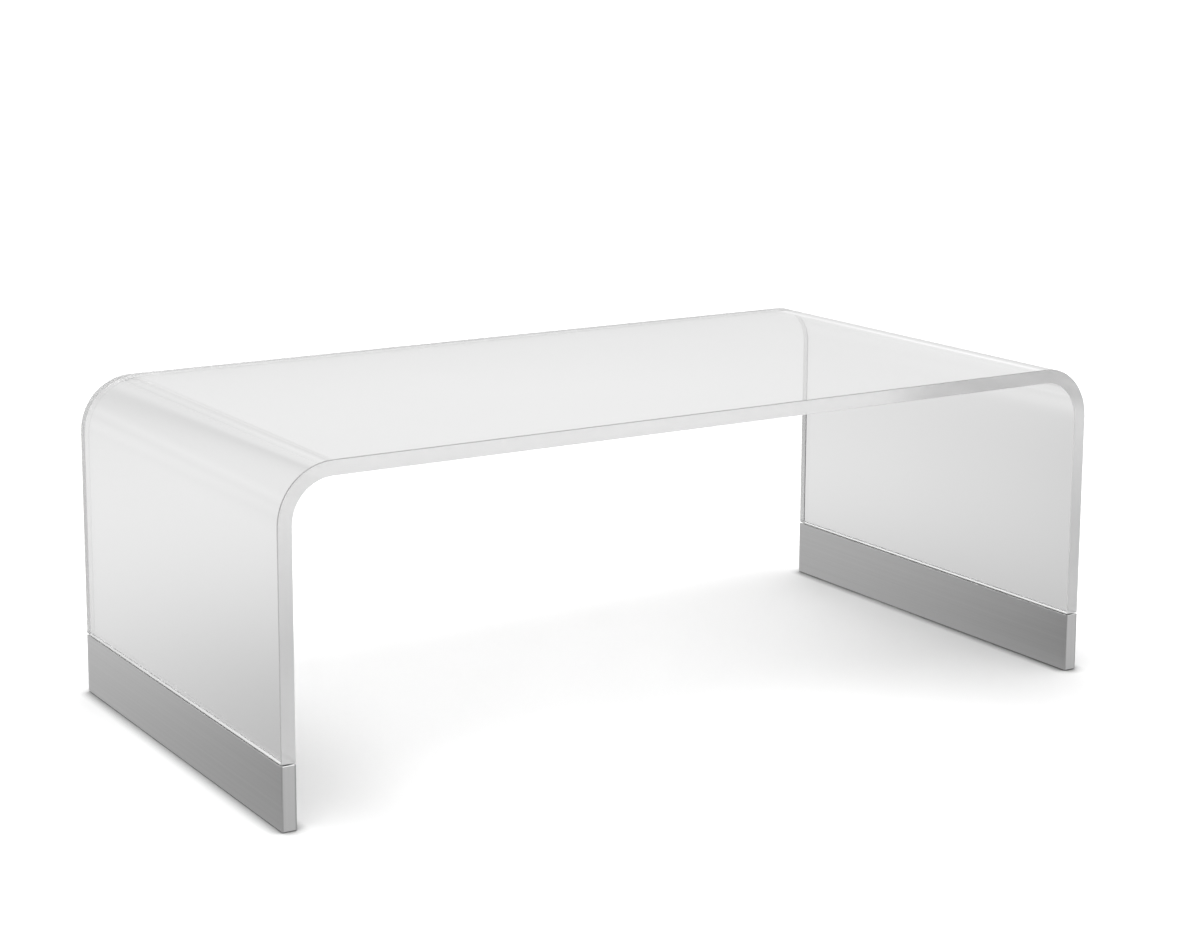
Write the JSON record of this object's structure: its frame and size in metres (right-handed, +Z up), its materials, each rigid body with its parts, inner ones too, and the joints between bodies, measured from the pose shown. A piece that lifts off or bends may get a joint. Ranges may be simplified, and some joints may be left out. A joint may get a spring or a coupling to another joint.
{
  "type": "coffee table",
  "caption": "Waterfall coffee table: a clear acrylic slab bent down at both ends into legs that are bonded to brushed stainless steel bases with hidden floor glides.",
  "frame": {"origin": "on the floor, under the middle of the table", "axes": "+X along the length, from the left leg to the right leg; +Y from front to rear; +Z up"},
  "size_m": [1.2192, 0.6096, 0.4318],
  "materials": {
    "clear_acrylic": "clear, polished",
    "brushed_stainless": "fine straight brush",
    "mill_finish_steel": "dull, as rolled",
    "clear_bond": "clear, slightly hazy",
    "screw_steel": "bright zinc",
    "black_nylon": "moulded, satin"
  },
  "bodies": {
    "root": {"waterfall_slab": "clear_acrylic", "left_bonding_strip": "clear_bond", "left_outer_face_plate": "brushed_stainless", "left_inner_face_plate": "brushed_stainless", "left_front_end_plate": "brushed_stainless", "left_rear_end_plate": "brushed_stainless", "left_top_plate": "brushed_stainless", "left_sole_plate": "mill_finish_steel", "left_glide_screws": "screw_steel", "left_front_glide": "black_nylon", "left_middle_glide": "black_nylon", "left_rear_glide": "black_nylon", "right_bonding_strip": "clear_bond", "right_outer_face_plate": "brushed_stainless", "right_inner_face_plate": "brushed_stainless", "right_front_end_plate": "brushed_stainless", "right_rear_end_plate": "brushed_stainless", "right_top_plate": "brushed_stainless", "right_sole_plate": "mill_finish_steel", "right_glide_screws": "screw_steel", "right_front_glide": "black_nylon", "right_middle_glide": "black_nylon", "right_rear_glide": "black_nylon"}
  },
  "joints": []
}
